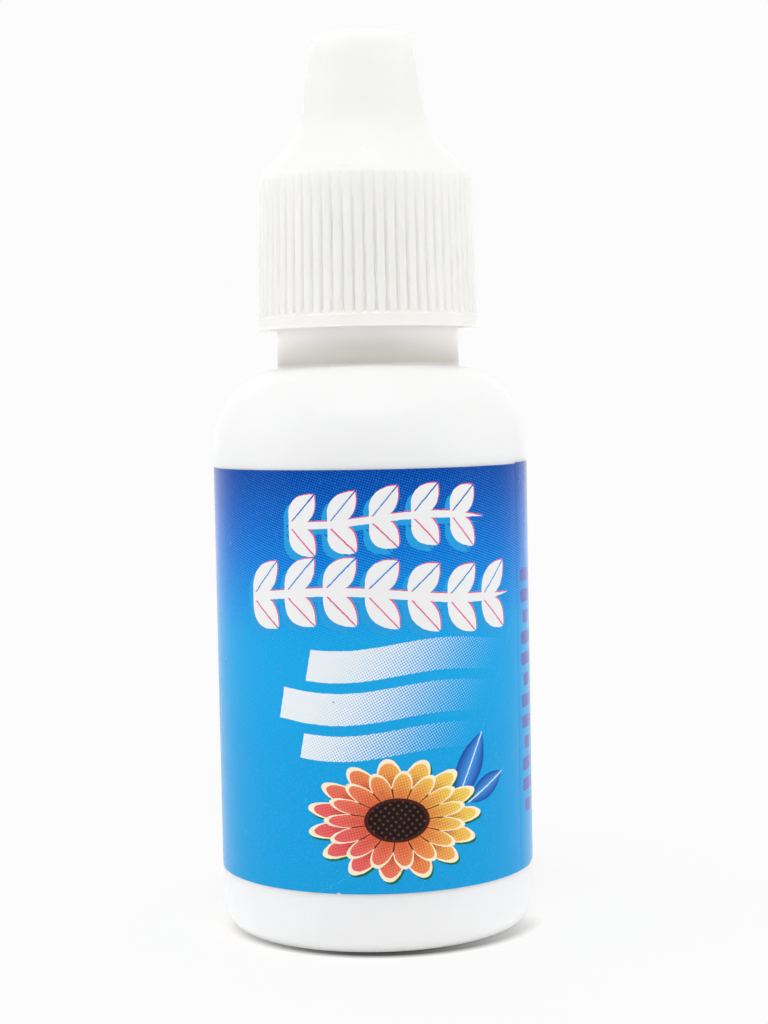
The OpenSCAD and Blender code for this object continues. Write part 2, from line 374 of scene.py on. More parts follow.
# Materials
def linear(r, g, b):
    """Colour given as a screen shows it, from 0 to 255, turned into light"""
    shares = [c / 255 for c in (r, g, b)]
    return tuple(c / 12.92 if c <= 0.04045 else ((c + 0.055) / 1.055) ** 2.4 for c in shares)


class Field:
    """A number that varies over a surface: sums, products and comparisons of it add nodes to its tree"""

    def __init__(self, tree, socket):
        self.tree, self.socket = tree, socket

    def made(self, operation, *others):
        node = self.tree.nodes.new("ShaderNodeMath")
        node.operation = operation
        for socket, value in zip(node.inputs, (self, *others)):
            if isinstance(value, Field):
                self.tree.links.new(value.socket, socket)
            else:
                socket.default_value = value
        return Field(self.tree, node.outputs[0])

    def __add__(self, other):
        return self.made("ADD", other)

    def __sub__(self, other):
        return self.made("SUBTRACT", other)

    def __mul__(self, other):
        return self.made("MULTIPLY", other)

    def __truediv__(self, other):
        return self.made("DIVIDE", other)

    def __lt__(self, other):
        return self.made("LESS_THAN", other)

    def __gt__(self, other):
        return self.made("GREATER_THAN", other)

    def most(self, other):
        return self.made("MAXIMUM", other)

    def __abs__(self):
        return self.made("ABSOLUTE")

    def round(self):
        return self.made("ROUND")

    def sin(self):
        return self.made("SINE")

    def cos(self):
        return self.made("COSINE")

    def ramp(self, low, high):
        """Rises evenly from 0 where the number is low to 1 where it is high"""
        node = self.tree.nodes.new("ShaderNodeMapRange")
        self.tree.links.new(self.socket, node.inputs["Value"])
        node.inputs["From Min"].default_value = low
        node.inputs["From Max"].default_value = high
        return Field(self.tree, node.outputs["Result"])


class Ink:
    """A colour that varies over a surface"""

    def __init__(self, tree, socket):
        self.tree, self.socket = tree, socket

    def mixed(self, blend_type, share, other):
        node = self.tree.nodes.new("ShaderNodeMix")
        node.data_type = "RGBA"
        node.blend_type = blend_type
        factor, first, second = node.inputs[0], node.inputs[6], node.inputs[7]
        self.tree.links.new(share.socket, factor)
        self.tree.links.new(self.socket, first)
        if isinstance(other, Ink):
            self.tree.links.new(other.socket, second)
        else:
            second.default_value = (*other, 1)
        return Ink(self.tree, node.outputs[2])

    def over(self, share, other):
        """The other colour laid over this one where share is 1"""
        return self.mixed("MIX", share, other)

    def inked(self, share, other):
        """The other colour printed on this one as a clear ink where share is 1"""
        return self.mixed("MULTIPLY", share, other)


def colours(value, stops):
    """Colours blended along a number, given as (number, colour) stops"""
    node = value.tree.nodes.new("ShaderNodeValToRGB")
    ramp = node.color_ramp
    while len(ramp.elements) < len(stops):
        ramp.elements.new(1)
    for element, (place, colour) in zip(ramp.elements, stops):
        element.position = place
        element.color = (*colour, 1)
    value.tree.links.new(value.socket, node.inputs["Fac"])
    return Ink(value.tree, node.outputs["Color"])


def texture(tree, kind, scale, place, **settings):
    """Noise or Voronoi texture at a place that a socket gives"""
    node = tree.nodes.new(kind)
    node.inputs["Scale"].default_value = scale
    for name, value in settings.items():
        node.inputs[name].default_value = value
    tree.links.new(place, node.inputs["Vector"])
    return node


def new_material(name):
    """Material with a Principled shader, and the place on the object in millimetres as a socket"""
    material = bpy.data.materials.new(name)
    material.use_nodes = True
    tree = material.node_tree
    shader = tree.nodes["Principled BSDF"]
    coordinates = tree.nodes.new("ShaderNodeTexCoord")
    scaled = tree.nodes.new("ShaderNodeVectorMath")
    scaled.operation = "SCALE"
    scaled.inputs["Scale"].default_value = 1 / MM
    tree.links.new(coordinates.outputs["Object"], scaled.inputs[0])
    return material, tree, shader, scaled.outputs[0]


def bump(tree, shader, height, distance, before=None):
    """Small relief from a height between 0 and 1, with its depth in millimetres"""
    node = tree.nodes.new("ShaderNodeBump")
    node.inputs["Distance"].default_value = distance * MM
    tree.links.new(height, node.inputs["Height"])
    if before:
        tree.links.new(before.outputs["Normal"], node.inputs["Normal"])
    tree.links.new(node.outputs["Normal"], shader.inputs["Normal"])
    return node


# Plastics. A scale counts the waves or cells in a millimetre.
mottle_scale = 0.35
mottle_from_to = (0.3, 0.7)
speck_scale = 0.42
speck_r = 0.028
speck_share = 0.2
speck_tone = linear(120, 112, 100)
rub_scale = 1.3
rub_spread = 0.16
grain_scale = 9.0
plastic_ior = 1.5
plastic_shine = 0.35
inner_share = 0.8
inner_reach = (1.0, 0.95, 0.9)


def plastic(name, light, shade, roughness, grain, softness, painted_shades=()):
    """Moulded plastic, mottled between two colours, with a fine grain, a worn sheen and dust specks.
    Its last argument holds painted shade, as pairs of a function of a place that says how far it is shaded
    and the tone there."""
    material, tree, shader, place = new_material(name)
    mottle = texture(tree, "ShaderNodeTexNoise", mottle_scale, place, Detail=3.0)
    specks = texture(tree, "ShaderNodeTexVoronoi", speck_scale, place)
    speck = Field(tree, specks.outputs["Distance"]) < speck_r
    tone = colours(Field(tree, mottle.outputs["Fac"]), list(zip(mottle_from_to, (shade, light))))
    tone = tone.over(speck * speck_share, speck_tone)
    split = tree.nodes.new("ShaderNodeSeparateXYZ")
    tree.links.new(place, split.inputs[0])
    # Painted shade: each tone is printed over the colour as far as its function says
    for painted_share, painted_tone in painted_shades:
        tone = tone.inked(painted_share(*(Field(tree, socket) for socket in split.outputs)), painted_tone)
    tree.links.new(tone.socket, shader.inputs["Base Color"])
    rub = texture(tree, "ShaderNodeTexNoise", rub_scale, place, Detail=4.0, Roughness=0.6)
    sheen = Field(tree, rub.outputs["Fac"]) * rub_spread + (roughness - rub_spread / 2)
    tree.links.new(sheen.socket, shader.inputs["Roughness"])
    fine = texture(tree, "ShaderNodeTexNoise", grain_scale, place, Detail=2.0)
    waves = bump(tree, shader, rub.outputs["Fac"], grain)
    bump(tree, shader, fine.outputs["Fac"], grain, waves)
    shader.inputs["IOR"].default_value = plastic_ior
    shader.inputs["Specular IOR Level"].default_value = plastic_shine
    shader.inputs["Subsurface Weight"].default_value = inner_share
    shader.inputs["Subsurface Radius"].default_value = inner_reach
    shader.inputs["Subsurface Scale"].default_value = softness * MM
    return material


# Artwork of the label. Places are in millimetres, right of the label's front and above its lower edge.
# A screen has the angle and the period of its dots. A pair of from and to is the range of a ramp.
waver_scale = 2.6
waver_w = 0.1

# Blue ground
open_blues = [
    (0.0, linear(4, 158, 219)), (0.36, linear(6, 162, 224)), (0.6, linear(12, 170, 232)),
    (0.8, linear(10, 148, 240)), (1.0, linear(8, 132, 241)),
]
dense_blues = [
    (0.0, linear(2, 150, 212)), (0.45, linear(6, 140, 214)), (0.6, linear(6, 128, 208)),
    (0.8, linear(4, 90, 184)), (1.0, linear(2, 62, 153)),
]
blue_screen = dict(angle=-18, period=0.19, soft=0.12, rows=0.32)
blue_from_to = (0.4, 1.15)
ink_grain_scale = 6.5
ink_grain_from_to = (0.5, 0.72)
ink_grain_fade = (1.3, 0.5)
ink_grain_share = 0.4
ink_grain_tone = linear(70, 150, 230)

# Garlands, and their layers from the lowest: shift to the right, shift up and tone
vein_w = 0.055
garlands = (
    dict(u=1.5, v=28.0, half_w=7.9, pitch=3.16, period=19.0, start=0.6, swing=0.35,
         turn=47, leaf_l=3.15, leaf_w=0.98, stem_w=0.27),
    dict(u=1.1, v=22.3, half_w=11.2, pitch=3.2, period=24.0, start=2.6, swing=0.4,
         turn=45, leaf_l=3.6, leaf_w=1.04, stem_w=0.32),
)
garland_layers = (
    (-0.45, -0.42, linear(38, 158, 222)),
    (0.09, 0.09, linear(226, 96, 140)),
    (0, 0, linear(238, 238, 238)),
)

# Bands: lower edge, upper edge and left end
bands = ((16.3, 18.7, -5.2), (13.1, 15.5, -7.6), (10.4, 12.3, -5.8))
band_slant = 0.2
band_screen = dict(angle=28, period=0.19, soft=0.3)
band_white = linear(232, 238, 242)
sway_h = 0.4
sway_l = 17
sway_start = 0.5
fade_v = 15
fade_slant = 0.5
band_fade_from_to = (10.5, -6.5)

# Flower. A row of petals has its turn as a share of a petal, its radius, and where it starts to deepen.
# A leaf has its angle, length, half width and foot.
flower_u = 1.6
flower_v = 5.55
flower_r = 7.0
squash = 1.5
flower_shadow = (0.12, -0.16, linear(24, 104, 66))
side_slant = 0.4
side_from_to = (-5.0, 5.5)
side_tones = [(0, linear(236, 104, 106)), (0.45, linear(240, 142, 84)), (1, linear(246, 212, 96))]
petal_count = 15
petal_round = 1.3
petal_rows = ((0, flower_r, 0.75), (0.5, flower_r * 0.8, 0.4))
streak_turn = 70
streak_share = 0.35
streak_from_to = (1.0, 0.5)
streak_tone = linear(150, 62, 44)
deep_to = 0.3
deep_tone = linear(128, 46, 28)
petal_screen = dict(angle=14, period=0.21)
petal_dots_from_to = (1.2, 0.2)
petal_dots_share = 0.5
petal_dots_tone = linear(226, 96, 74)
gap_share = 0.455
gap_tone = linear(96, 38, 28)
rim_share = 0.93
rim_tone = linear(250, 236, 204)
head_r = 2.5
head_tone = linear(70, 26, 20)
seeds_r = 2.2
seeds_screen = dict(angle=36, period=0.44)
seed_tones = [(0, linear(20, 12, 12)), (0.7, linear(26, 14, 12)), (1, linear(120, 64, 40))]
blue_leaves = ((64, 5.6, 1.15, 6.4, 6.6), (28, 4.2, 0.85, 7.4, 6.4))
blue_leaf_tones = [(0, linear(70, 150, 226)), (1, linear(16, 66, 160))]
vein_tone = linear(206, 230, 246)

# Marks near the lap
mark_u = 16.1
mark_v = 4.9
mark_count = 12
mark_pitch = 1.65
mark_half_ws = (1.0, 1.5, 1.5)
mark_half_h = 0.5
mark_round = 0.2
mark_share = 0.85
mark_tone = linear(92, 80, 170)

# Panel on the back
panel_u = 32.0
panel_v = 15.5
panel_half_w = 9.0
panel_half_h = 12.0
panel_line_w = 0.4
rule_pitch = 2.9
rule_share = 0.03
panel_tone = linear(224, 236, 244)
panel_line_tone = linear(20, 110, 196)
rule_tone = linear(120, 176, 220)

# Film
film_speck_scale = 0.36
film_speck_r = 0.03
film_speck_share = 0.5
film_speck_tone = linear(20, 60, 120)
film_rub_scale = 0.9
film_rub_spread = 0.08
film_roughness = 0.22
film_grain = 0.003
film_shine = 0.11


class Print:
    """The printed side of the label. Its plain places are exact, and the others waver as ink does."""

    def __init__(self, tree, place):
        self.tree = tree
        split = tree.nodes.new("ShaderNodeSeparateXYZ")
        tree.links.new(place, split.inputs[0])
        x, y, z = (Field(tree, socket) for socket in split.outputs)
        self.plain_u = x.made("ARCTAN2", y * -1) * label_r
        self.plain_v = z - label_low
        rough = texture(tree, "ShaderNodeTexNoise", waver_scale, place, Detail=3.0)
        rough_place = tree.nodes.new("ShaderNodeSeparateColor")
        tree.links.new(rough.outputs["Color"], rough_place.inputs[0])
        shifts = [(Field(tree, socket) - 0.5) * waver_w for socket in rough_place.outputs[:2]]
        self.u, self.v = self.plain_u + shifts[0], self.plain_v + shifts[1]

    def screen(self, angle, period, rows=0.25):
        """Dot screen: a number between 0 and 1 that an ink's share is set against.
        Where rows is above 0.25, its dots run together."""
        turn = math.radians(angle)
        along = (self.plain_u * math.cos(turn) + self.plain_v * math.sin(turn)) * (math.tau / period)
        across = (self.plain_v * math.cos(turn) - self.plain_u * math.sin(turn)) * (math.tau / period)
        return along.cos() * (0.5 - rows) + across.cos() * rows + 0.5

    def dots(self, share, angle, period, soft=0.22, rows=0.25):
        """Ink dots of a screen where an ink covers the given share of the paper"""
        return (share * (1 + 2 * soft) - soft - self.screen(angle, period, rows)).ramp(-soft, soft)

    def box(self, u, v, half_w, half_h, radius):
        """Rounded box about a place: 1 inside and 0 outside"""
        across = (abs(self.u - u) - (half_w - radius)).most(0)
        up = (abs(self.v - v) - (half_h - radius)).most(0)
        return (across * across + up * up) < radius * radius


def any_of(shapes):
    """1 where a place lies in at least one of several shapes"""
    whole = shapes[0]
    for shape in shapes[1:]:
        whole = whole.most(shape)
    return whole


def blue_ground(art, place):
    """Graded blue with a grain in the ink, denser towards the top, where a darker screen shows in it"""
    height = art.plain_v / (label_high - label_low)
    open_blue, dense_blue = colours(height, open_blues), colours(height, dense_blues)
    paper = open_blue.over(art.dots(height.ramp(*blue_from_to), **blue_screen), dense_blue)
    grain = texture(art.tree, "ShaderNodeTexNoise", ink_grain_scale, place, Detail=1.0)
    grain_share = Field(art.tree, grain.outputs["Fac"]).ramp(*ink_grain_from_to)
    return paper.over(grain_share * height.ramp(*ink_grain_fade) * ink_grain_share, ink_grain_tone)


def leaf_parts(x, y, angle, length, half_w):
    """Share of a pointed leaf's half width at a place, above 1 off the leaf, and its vein"""
    turn = math.radians(angle)
    along = (x * math.cos(turn) + y * math.sin(turn)) * (2 / length) - 1
    across = abs(y * math.cos(turn) - x * math.sin(turn))
    room = (along * along * -1 + 1).most(SMALL_SHARE) * half_w
    return across / room, across < vein_w


def garland(art, g, du, dv):
    """Swinging stem with pairs of open-veined leaves, shifted by a place: 1 inside"""
    u, v = art.u - (g["u"] + du), art.v - (g["v"] + dv)
    v = v - (u * (math.tau / g["period"]) + g["start"]).sin() * g["swing"]
    place = u / g["pitch"]
    x, y = (place - place.round() + 0.5) * g["pitch"], abs(v)
    share, vein = leaf_parts(x, y, g["turn"], g["leaf_l"], g["leaf_w"])
    leaves = (share < 1) * (vein * -1 + 1)
    stem = y < u.ramp(g["half_w"], g["half_w"] - g["pitch"]) * g["stem_w"]
    return leaves.most(stem) * (abs(u) < g["half_w"])


def print_garlands(art, paper):
    """Two white garlands, each with a lighter blue shadow and a rose edge where the inks miss"""
    for g in garlands:
        for du, dv, tone in garland_layers:
            paper = paper.over(garland(art, g, du, dv), tone)
    return paper


def print_bands(art, paper):
    """Slanted bands that fade from white at the left into the blue, through an open dot screen"""
    fade = (art.plain_u - (art.plain_v - fade_v) * fade_slant).ramp(*band_fade_from_to)
    sway = (art.u * (math.tau / sway_l) - sway_start).sin() * sway_h
    whole = any_of([
        (abs(art.v - sway - (low + high) / 2) < (high - low) / 2)
        * (art.u - art.v * band_slant > start - low * band_slant)
        for low, high, start in bands
    ])
    return paper.over(whole * art.dots(fade, **band_screen), band_white)


def petals(offset, radius, x, y):
    """Distance from the middle as a share of the petals' edge, and how far a place is off its petal's
    line, as a share of a petal"""
    turns = y.made("ARCTAN2", x) * (petal_count / math.tau) + offset
    off = abs(turns - turns.round())
    edge = (off * off * -petal_round + 1) * radius
    return (x * x + y * y).made("SQRT") / edge, off


def flower_place(art, du=0.0, dv=0.0):
    """Place from the flower's middle, with heights stretched, because the flower is seen aslant"""
    return art.u - (flower_u + du), (art.v - (flower_v + dv)) * squash


def print_flower(art, paper):
    """Warm flower: two rows of petals about a dark seed head, with blue leaves and a shadow behind"""
    for turn, leaf_l, leaf_w, u, v in blue_leaves:
        shade, vein = leaf_parts(art.u - u, art.v - v, turn, leaf_l, leaf_w)
        paper = paper.over(shade < 1, colours(shade, blue_leaf_tones))
        paper = paper.over(vein * (shade < 1), vein_tone)
    du, dv, shadow_tone = flower_shadow
    paper = paper.over(petals(0, flower_r, *flower_place(art, du, dv))[0] < 1, shadow_tone)
    x, y = flower_place(art)
    warm = colours((x + y * side_slant).ramp(*side_from_to), side_tones)
    for offset, radius, deep_from in petal_rows:
        share, off = petals(offset, radius, x, y)
        streaks = (off * streak_turn).cos() * 0.5 + 0.5
        petal = warm.inked(streaks * streak_share * share.ramp(*streak_from_to), streak_tone)
        petal = petal.inked(share.ramp(deep_from, deep_to), deep_tone)
        dots = art.dots(share.ramp(*petal_dots_from_to), **petal_screen)
        petal = petal.inked(dots * petal_dots_share, petal_dots_tone)
        petal = petal.over(off > gap_share, gap_tone)
        petal = petal.over(share > rim_share, rim_tone)
        paper = paper.over(share < 1, petal)
    from_middle = (x * x + y * y).made("SQRT")
    paper = paper.over(from_middle < head_r, head_tone)
    return paper.over(from_middle < seeds_r, colours(art.screen(**seeds_screen), seed_tones))


def print_marks(art, paper):
    """Column of plain violet marks near the lap"""
    half_ws = [mark_half_ws[i % len(mark_half_ws)] for i in range(mark_count)]
    marks = any_of([
        art.box(mark_u, mark_v + i * mark_pitch, half_w, mark_half_h, mark_round)
        for i, half_w in enumerate(half_ws)
    ])
    return paper.over(marks * mark_share, mark_tone)


def print_panel(art, paper):
    """Ruled panel on the back, left empty"""
    across, up = abs(abs(art.plain_u) - panel_u), abs(art.v - panel_v)
    whole = (across < panel_half_w) * (up < panel_half_h)
    field = (across < panel_half_w - panel_line_w) * (up < panel_half_h - panel_line_w)
    row = art.v / rule_pitch
    paper = paper.over(whole, panel_tone)
    paper = paper.over(whole - field, panel_line_tone)
    return paper.over((abs(row - row.round()) < rule_share) * field, rule_tone)


def label_film():
    """Glossy film, printed all round, with small specks in the print and a worn sheen"""
    material, tree, shader, place = new_material("label_film")
    art = Print(tree, place)
    paper = blue_ground(art, place)
    for layer in (print_garlands, print_bands, print_flower, print_marks, print_panel):
        paper = layer(art, paper)
    specks = texture(tree, "ShaderNodeTexVoronoi", film_speck_scale, place)
    speck = Field(tree, specks.outputs["Distance"]) < film_speck_r
    paper = paper.over(speck * film_speck_share, film_speck_tone)
    tree.links.new(paper.socket, shader.inputs["Base Color"])

    rub = texture(tree, "ShaderNodeTexNoise", film_rub_scale, place, Detail=5.0, Roughness=0.65)
    sheen = Field(tree, rub.outputs["Fac"]) * film_rub_spread + film_roughness
    tree.links.new(sheen.socket, shader.inputs["Roughness"])
    bump(tree, shader, rub.outputs["Fac"], film_grain)
    shader.inputs["IOR"].default_value = plastic_ior
    shader.inputs["Specular IOR Level"].default_value = film_shine
    return material


# Bottle: base, body, shoulder and threaded neck
foot_out_r = body_r - foot_w
foot_in_r = foot_out_r - foot_ring_w
shoulder_mid = (body_r - shoulder_r, body_h)


def shoulder_end(radius, neck_r):
    """Angle at which a shoulder's curve reaches the neck"""
    return math.acos((neck_r - shoulder_mid[0]) / radius)


shoulder_top = body_h + shoulder_r * math.sin(shoulder_end(shoulder_r, collar_r))
collar_top = shoulder_top + collar_h
neck_thread_z = collar_top + edge_round + thread_root_w / 2


def neck_shape(radius, height, angle):
    """Adds the screw thread to the outside of the neck"""
    if radius < root_r - SMALL_GAP or height < collar_top + edge_round:
        return radius
    return radius + thread_depth * thread_share(height, angle, neck_thread_z, neck_turns, 0)


shoulder_arc = arc(shoulder_mid, shoulder_r, shoulder_r, 0, shoulder_end(shoulder_r, collar_r) - fillet_a)
neck_low = rounded([
    shoulder_arc[-1], (collar_r, shoulder_top, edge_round), (collar_r, collar_top, edge_round),
    (root_r, collar_top + edge_round),
])
neck_high = rounded([
    (root_r, collar_top + edge_round), (root_r, neck_top, edge_round), (bore_r + edge_round, neck_top)
])
in_shoulder_r = shoulder_r - body_wall
in_shoulder_end = shoulder_end(in_shoulder_r, bore_r)
roof_z = body_h + in_shoulder_r * math.sin(in_shoulder_end)
in_r = body_r - body_wall
bottle_path = (
    rounded([
        (0, push_up_h - gate_h), (gate_r, push_up_h - gate_h, gate_h / 2),
        (gate_r + gate_h / 2, push_up_h), (foot_in_r - push_up_h, push_up_h, push_up_h),
        (foot_in_r, 0, edge_round), (foot_out_r, 0),
    ])
    + arc((foot_out_r, foot_h), foot_w, foot_h, ARC_STEP - math.pi / 2, 0)
    + shoulder_arc
    + neck_low[1:-1]
    + dense(neck_high, thread_row)
    + rounded([
        (bore_r, neck_top - edge_round), (bore_r, roof_z, edge_round),
        (shoulder_mid[0] + edge_round, roof_z),
    ])
    + arc(shoulder_mid, in_shoulder_r, in_shoulder_r, in_shoulder_end - 2 * ARC_STEP, 0)
    + rounded([
        (in_r, foot_h), (in_r, floor_t, foot_h - floor_t), (foot_in_r, floor_t, push_up_h),
        (foot_in_r - push_up_h, push_up_h + floor_t, push_up_h), (0, push_up_h + floor_t),
    ])
)
bottle = turned(bottle_path, body_columns, neck_shape)


def painted_crease_shade(x, y, z):
    """Painted shade on the foot of the neck, next to the shoulder"""
    return z.ramp(shoulder_top, shoulder_top + crease_edge) * z.ramp(shoulder_top + crease_h, shoulder_top)


bottle_plastic = plastic(
    "bottle_plastic", linear(252, 250, 247), linear(250, 248, 245),
    roughness=0.5, grain=0.002, softness=1.3, painted_shades=[(painted_crease_shade, crease_shade_tone)],
)
piece("bottle_shell", bottle, "bottle_body", "bottle", bottle_plastic)


# Dropper tip: plug with two beads, flange and nozzle
flange_top = neck_top + flange_t
nozzle_h = nozzle_top - flange_top
plug_r = bore_r - plug_gap
plug_in_r = plug_r - plug_wall
plug_l = neck_top - plug_low
beads = []
for bead_share in bead_shares:
    bead_z = plug_low + bead_share * plug_l
    beads += [
        (plug_r, bead_z - bead_w / 2), (bead_r, bead_z - plug_gap, plug_gap),
        (bead_r, bead_z + plug_gap, plug_gap), (plug_r, bead_z + bead_w / 2),
    ]
tip_path = rounded([
    (plug_r - plug_gap, plug_low), (plug_r, plug_low + plug_lead_in), *beads,
    (plug_r, neck_top), (flange_r, neck_top, edge_round), (flange_r, flange_top, edge_round),
    (nozzle_foot_r, flange_top, edge_round), (shank_r, flange_top + shank_share * nozzle_h, nozzle_foot_r),
    (waist_r, flange_top + waist_share * nozzle_h, tip_r), (tip_r, nozzle_top - tip_r / 2, edge_round),
    (tip_r, nozzle_top, tip_r / 2), (outlet_r + outlet_flare, nozzle_top),
    (outlet_r, nozzle_top - outlet_flare), (outlet_r, nozzle_top - outlet_l),
    (channel_r, nozzle_top - outlet_l - channel_r),
    (channel_r, flange_top + throat_share * nozzle_h, edge_round), (plug_in_r, neck_top, edge_round),
    (plug_in_r, plug_low),
])
tip = turned(tip_path, small_columns)
tip_plastic = plastic(
    "tip_plastic", linear(247, 247, 244), linear(243, 244, 240), roughness=0.4, grain=0.003, softness=1.5,
)
piece("dropper_nozzle", tip, "bottle_body", "dropper_tip", tip_plastic)


# Tip seal: pin, disc and stem
disc_low = pin_low + pin_l
disc_top = disc_low + disc_t
seal_path = rounded([
    (0, pin_low), (pin_r / 2, pin_low), (pin_r, pin_low + pin_r, pin_r / 2), (pin_r, disc_low),
    (disc_r, disc_low, edge_round), (disc_r, disc_top, edge_round), (stem_r, disc_top),
    (stem_r, stem_top, edge_round), (0, stem_top),
])
seal = turned(seal_path, small_columns)
seal_plastic = plastic(
    "seal_plastic", linear(236, 238, 240), linear(230, 233, 236), roughness=0.5, grain=0.004, softness=0.8,
)
piece("seal_plug", seal, "cap_rise", "tip_seal", seal_plastic)


# Cap: smooth band, ribbed skirt, bell, and inside it the thread, the seal ring and the socket
valley_low_r = rib_low_r - rib_depth
bell_corner = (rib_top_r + edge_step, skirt_h)
bell_line = [bell_corner, bell_bend, top_foot, (top_r, cap_h)]
bell = rounded([
    (rib_low_r + edge_step, band_h), (*bell_corner, bell_round), (*bell_bend, bend_round),
    (*top_foot, top_foot_round), (top_r, cap_h, top_round), (0, cap_h),
])


def rib_shape(radius, height, angle):
    """Skirt's radius: ribs that rise out of the band's bevel and are cut off by the bell above"""
    height -= rim_z
    if radius < valley_low_r - rib_depth - edge_step or height < band_h:
        return radius
    phase = (angle - rib_valley_a) * rib_count / math.tau % 1
    from_valley = min(phase, 1 - phase)
    groove = (1 + math.cos(math.pi * min(1, from_valley / groove_share))) / 2
    crown = (1 - 2 * from_valley) ** 2
    rise = (height - band_h - bevel_h) / (skirt_h - band_h - bevel_h)
    crest = rib_low_r + (rib_top_r - rib_low_r) * rise
    depth = rib_depth * (1 - rib_fade * eased((height - skirt_h + rib_fade_h) / rib_fade_h))
    rib = crest - depth * (groove * (1 - crown_share) + crown * crown_share)
    bevel = band_r - (height - band_h) * (band_r - valley_low_r) / bevel_h
    return max(bevel, min(radius, rib))


def rows(low, high, step):
    """Heights between two heights, spaced as near to a step as fits"""
    count = max(1, round((high - low) / step))
    return [low + (high - low) * i / count for i in range(count)]


rib_angles = [
    rib_valley_a + math.tau * (rib + phase) / rib_count for rib in range(rib_count) for phase in rib_phases
]
cap_columns = even(2 * rib_count)
cap = Shell()
for p in reversed([p for p in bell if p.y > run_out_h]):
    cap.ring(cap_columns, max(0, p.x), rim_z + p.y)
bevel_top = band_h + bevel_h + edge_step
skirt_rows = (
    rows(band_h, bevel_top, bevel_row) + rows(bevel_top, bell_cut_h, skirt_row)
    + rows(bell_cut_h, run_out_h, bell_cut_row) + [run_out_h]
)
for height in reversed(skirt_rows):
    cap.ring(rib_angles, radius_at(bell, height), rim_z + height, rib_shape)
for p in reversed(rounded([(0, 0), (band_r, 0, rim_round), (band_r, band_h)])[1:]):
    cap.ring(rib_angles, p.x, rim_z + p.y)

cap_bore_r = root_r + thread_depth + thread_space
cap_thread_z = collar_top + thread_space + thread_root_w / 2
thread_drop = (thread_root_w + thread_crest_w) / 2 + thread_play
cap_thread_a = math.tau * (cap_thread_z + thread_drop - neck_thread_z) / thread_lead
wall = beside(bell_line, cap_wall)
top_z = cap_h - top_wall
boss_z = disc_top + socket_space - rim_z
socket_z = stem_top + socket_space - rim_z
socket_r = stem_r + socket_gap
ring_in_r = flange_r - seal_ring_w
top_in_r = wall[2].x + (wall[3].x - wall[2].x) * (top_z - wall[2].y) / (wall[3].y - wall[2].y)
inside = rounded([
    (cap_bore_r + rim_bevel, 0), (cap_bore_r, rim_bevel),
    (cap_bore_r, height_at(wall[0], wall[1], cap_bore_r), edge_round),
    (flange_r, height_at(wall[0], wall[1], flange_r)),
    (flange_r, seal_depth, edge_round), (ring_in_r, seal_depth, edge_round),
    (ring_in_r, height_at(wall[1], wall[2], ring_in_r)), (*wall[2], top_foot_round),
    (top_in_r, top_z, edge_round), (socket_r + socket_wall, top_z), (socket_r + socket_wall, boss_z),
    (socket_r, boss_z), (socket_r, socket_z), (0, socket_z),
])


def cap_thread(radius, height, angle):
    """Adds the screw thread to the bore of the cap"""
    if abs(radius - cap_bore_r) > SMALL_GAP:
        return radius
    return radius - thread_depth * thread_share(height, angle, cap_thread_z, cap_turns, cap_thread_a)


for p in dense(inside[:3], thread_row) + inside[3:]:
    cap.ring(cap_columns, max(0, p.x), rim_z + p.y, cap_thread)


def painted_groove_shade(x, y, z):
    """Painted shade in the grooves between the ribs"""
    rise = (z - (rim_z + band_h + bevel_h)) / (skirt_h - band_h - bevel_h)
    deep = (rise * (rib_top_r - rib_low_r) + rib_low_r - (x * x + y * y).made("SQRT")) / rib_depth
    return deep.ramp(*groove_from_to) * (rise > 0) * (rise < 1)


def painted_skirt_shade(x, y, z):
    """Painted shade on the skirt, darker towards its bottom"""
    return z.ramp(rim_z + skirt_h, rim_z + skirt_h - skirt_shade_h)


def painted_band_shade(x, y, z):
    """Painted shade on the band below the skirt"""
    return z.ramp(rim_z + band_h + bevel_h, rim_z + band_h)


cap_plastic = plastic(
    "cap_plastic", linear(247, 246, 243), linear(245, 244, 240),
    roughness=0.55, grain=0.0008, softness=1.4,
    painted_shades=[(painted_groove_shade, groove_shade_tone), (painted_skirt_shade, skirt_shade_tone), (painted_band_shade, band_shade_tone)],
)
piece("cap_shell", cap, "cap_turn_body", "cap", cap_plastic)


# Label: one strip of film round the body, whose end lies over its start
lap_turn = lap_l / label_r
strip_end = lap_a + math.tau + lap_turn
nick_a = nick_u / label_r + math.tau
strip_steps = math.ceil((strip_end - lap_a) / label_step)
strip_angles = [lap_a + label_step * i for i in range(strip_steps)] + [strip_end]
strip_angles += [nick_a + nick_w / label_r * share for share in nick_shares]
strip = Shell()
for a in sorted(strip_angles):
    lifted = film_t * (1 - eased((a - lap_a - lap_turn) * label_r / lap_ease))
    shift = lap_rise * (1 - (a - lap_a) / (strip_end - lap_a))
    nick = nick_h * math.sqrt(max(0, 1 - ((a - nick_a) * label_r / nick_w) ** 2))
    low, high = label_low + shift + nick, label_high + shift - lap_rise
    inner, outer = label_r - 2 * film_t + lifted, label_r - film_t + lifted
    outer -= lap_thin * (1 - eased((a - lap_a) * label_r / lap_ease))
    across, along = math.sin(a), -math.cos(a)
    first = len(strip.points)
    strip.points += [
        (r * across, r * along, z) for r, z in ((inner, low), (inner, high), (outer, high), (outer, low))
    ]
    section = list(range(first, first + 4))
    if first:
        strip.faces += zip(before, before[1:] + before[:1], section[1:] + section[:1], section)
    before = section
strip.faces += [(3, 2, 1, 0), tuple(section)]
piece("label_wrap", strip, "bottle_body", "label", label_film())


# Floor: it takes the shadow near the bottle, has a painted contact shadow round the foot, and fades into
# plain white further off for the camera
near_white = linear(252, 252, 252)
floor_size = 3000
floor_drop = 0.02
floor_tone = (0.94, 0.92, 0.9)
